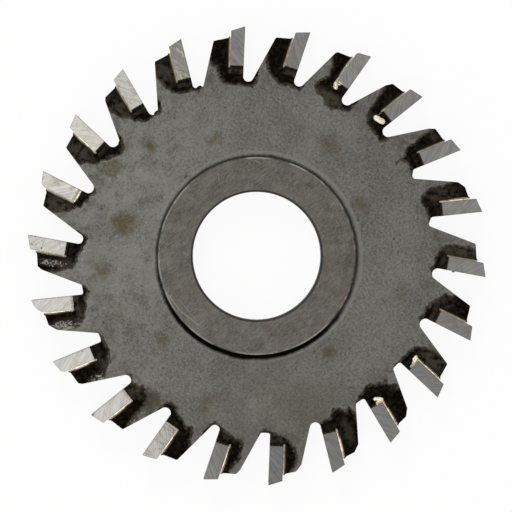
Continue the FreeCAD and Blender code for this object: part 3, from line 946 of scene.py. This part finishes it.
def flux_field(number, side):
    """Thickness and colour shares of the flux on one face of a tooth."""
    source = number if side > 0 else (number + LOWER_SHIFT - 1) % TOOTH_COUNT + 1
    outline = [(u * GRID, v * GRID) for u, v in FLUX[source] + FLUX_CORNERS]
    seed = Vector((7.3 * number, 3.1 * side, 0))

    def field(x, y):
        down, behind = tip_place(x, y)
        if behind < TIP_THICKNESS + CLEAR_BEHIND and down < TIP_LENGTH + CLEAR_BELOW:
            return None
        spot = Vector((x, y, 0)) + seed
        wave = sum(noise.noise(spot * scale) * deep for scale, deep in EDGE_WAVES)
        inside = edge_distance(x, y, outline) + EDGE_GROWTH + wave
        if inside <= 0:
            return None
        cover = min(1.0, inside)
        lumps = 0.5 + 0.5 * noise.fractal(spot * 1.9, 0.8, 2.2, 3)
        thickness = FLUX_FILM + FLUX_BUILD * cover * max(0.1, lumps)
        if down < TIP_LENGTH:
            thickness = min(thickness, SEAM_FILM + SEAM_BUILD * (behind - TIP_THICKNESS))
        pool = (down - TIP_LENGTH) / RECESS_LENGTH
        brown = patch(BROWN.get(source), x, y)
        if 0.1 < pool < 1 and behind < TIP_THICKNESS + 0.3:
            thickness += POOL_LUMPS * max(0.0, noise.noise(spot * 1.3) + 0.3)
            off_bar = abs(pool - BAR_MIDDLE - BAR_WAVER * noise.noise(spot * 0.9))
            bar = BARS.get(source, FAINT_BAR) * min(1.0, 2.5 * max(0.0, 1 - off_bar / BAR_HALF))
            brown = max(brown * min(1.0, 3 * pool), bar)
            # Both ends of the pool turn black: partly flux, partly painted shade under the tip and
            # in the recess's corners
            cover = max(cover, min(1.0, 0.7 + 0.8 * abs(pool - BAR_MIDDLE)))
        ash = patch(ASH.get(source), x, y)
        if ash > 0:
            thickness += ASH_LUMPS * ash * max(0.0, noise.noise(spot * 3.3) + 0.3)
        return (thickness, cover, ash, brown)

    return field


def drop_field(number, drop):
    """Thickness and rim of a flattened drop drawn out between two points below a tip."""
    ax, ay, bx, by, size = (value * GRID for value in drop)

    def field(x, y):
        t = ((x - ax) * (bx - ax) + (y - ay) * (by - ay)) / ((bx - ax) ** 2 + (by - ay) ** 2)
        t = max(0.0, min(1.0, t))
        away = math.hypot(x - ax - t * (bx - ax), y - ay - t * (by - ay))
        inside = size + 0.12 * noise.noise(Vector((x, y, 5.1 * number)) * 1.6) - away
        if inside <= 0:
            return None
        share = min(1.0, inside / size)
        dome = math.sqrt(max(0.0, 1 - (1 - share) ** 2))
        return (DROP_RIM_HEIGHT + DROP_DOME * size * dome, share, 0.0, 0.0)

    return field


def add_lump(bm, layers, number, lump):
    """A rough lump half sunk in a gullet wall or a rake face."""
    cover, _, brown = layers
    u, v, half_u, half_v = (value * GRID for value in lump)
    for vert in bmesh.ops.create_icosphere(bm, subdivisions=4, radius=1.0)["verts"]:
        spot = vert.co.copy()
        rough = 1 + 0.22 * noise.noise(spot * 1.4 + Vector((u, v, number)))
        rough += 0.12 * noise.noise(spot * 4.0)
        x, y = turned(u + spot.x * half_u * rough, v + spot.y * half_v * rough, number)
        vert.co = Vector((x, y, LUMP_MIDDLE + spot.z * LUMP_HALF_HEIGHT * rough)) * MM
        vert[cover] = 0.5 + 0.5 * noise.noise(spot * 2.0)
        vert[brown] = 0.5


def add_flux(steel):
    for number in range(1, TOOTH_COUNT + 1):
        bm, layers = attribute_mesh()
        for side in (1, -1):
            Skin(number, side, FLUX_LAY, flux_field(number, side), steel).build(bm, layers)
        for lump in LUMPS.get(number, ()):
            add_lump(bm, layers, number, lump)
        new_piece(f"flux_crust_{number:02d}", bm, baked_flux(number))


def add_drops(steel):
    material = drop_metal()
    for number, drops in DROPS.items():
        bm, layers = attribute_mesh()
        for drop in drops:
            Skin(number, 1, DROP_LAY, drop_field(number, drop), steel).build(bm, layers)
        new_piece(f"braze_drop_{number:02d}", bm, material)


def add_lamp(name, place, size, watts, rotation):
    """A square soft lamp that the camera doesn't see."""
    lamp = bpy.data.lights.new(name, "AREA")
    lamp.color = LAMP_COLOUR
    lamp.shape = "SQUARE"
    lamp.size = size
    lamp.energy = watts
    holder = bpy.data.objects.new(name, lamp)
    holder.location = place
    holder.rotation_euler = rotation
    holder.visible_camera = False
    bpy.context.scene.collection.objects.link(holder)


def add_lamps():
    """A lamp high beyond the picture's top edge, and a wide one at its lower left, facing down."""
    aim = -Vector(KEY_PLACE)
    add_lamp("key", KEY_PLACE, KEY_SIZE, KEY_WATTS, aim.to_track_quat("-Z", "Y").to_euler())
    azimuth, reach = math.radians(SIDE_AZIMUTH), SIDE_EDGE + SIDE_SIZE / 2
    place = (reach * math.sin(azimuth), reach * math.cos(azimuth), SIDE_HEIGHT)
    watts = SIDE_RADIANCE * math.pi * SIDE_SIZE * SIDE_SIZE
    add_lamp("side", place, SIDE_SIZE, watts, (0, 0, -azimuth))


def add_stage():
    """A white floor that keeps a soft shadow, and white surroundings."""
    n = Nodes("floor")
    paper = n.mix(n.noise(n.place(), 0.02, 2.0, 0.5), PAPER_DARK, PAPER_LIGHT)
    lit = n.add("BsdfDiffuse", {"Color": paper})
    glow = n.add("Emission", {"Strength": 1.0})
    n.add_output(n.add("MixShader", {0: n.times(n.seen(), FLOOR_GLOW), 1: lit, 2: glow}))
    low = (0, 0, cad_box[0].z - FLOOR_GAP)
    bpy.ops.mesh.primitive_plane_add(size=FLOOR_SIZE, location=low)
    floor = bpy.context.object
    floor.name = "floor"
    floor.data.materials.append(n.owner)

    n = Nodes("surroundings", "worlds")
    inputs = {"Value": n.seen(), "To Min": WORLD_LIGHT, "To Max": WORLD_SEEN}
    inputs = {"Color": (1, 1, 1, 1), "Strength": n.add("MapRange", inputs)}
    n.add_output(n.add("Background", inputs), "OutputWorld")
    bpy.context.scene.world = n.owner


def add_camera():
    """Looks down on the disc, from a little left of its axis and above it in the picture."""
    data = bpy.data.cameras.new("camera")
    camera = bpy.data.objects.new("camera", data)
    bpy.context.scene.collection.objects.link(camera)
    place, aim = Vector(CAMERA_PLACE), Vector(CAMERA_AIM)
    back = (place - aim).normalized()
    right = Vector((0, 1, 0)).cross(back).normalized()
    turn = Matrix((right, back.cross(right), back)).transposed().to_4x4()
    camera.matrix_world = Matrix.Translation(place) @ turn
    data.sensor_width = SENSOR
    data.lens = SENSOR / (PICTURE_WIDTH * GRID * MM) * (place - aim).length
    data.clip_start, data.clip_end = NEAREST, FARTHEST
    bpy.context.scene.camera = camera


steel_faces = Steel()
finish_nodes()
add_flux(steel_faces)
add_drops(steel_faces)
add_stage()
add_lamps()
add_camera()
bpy.context.scene.view_settings.view_transform = "Standard"
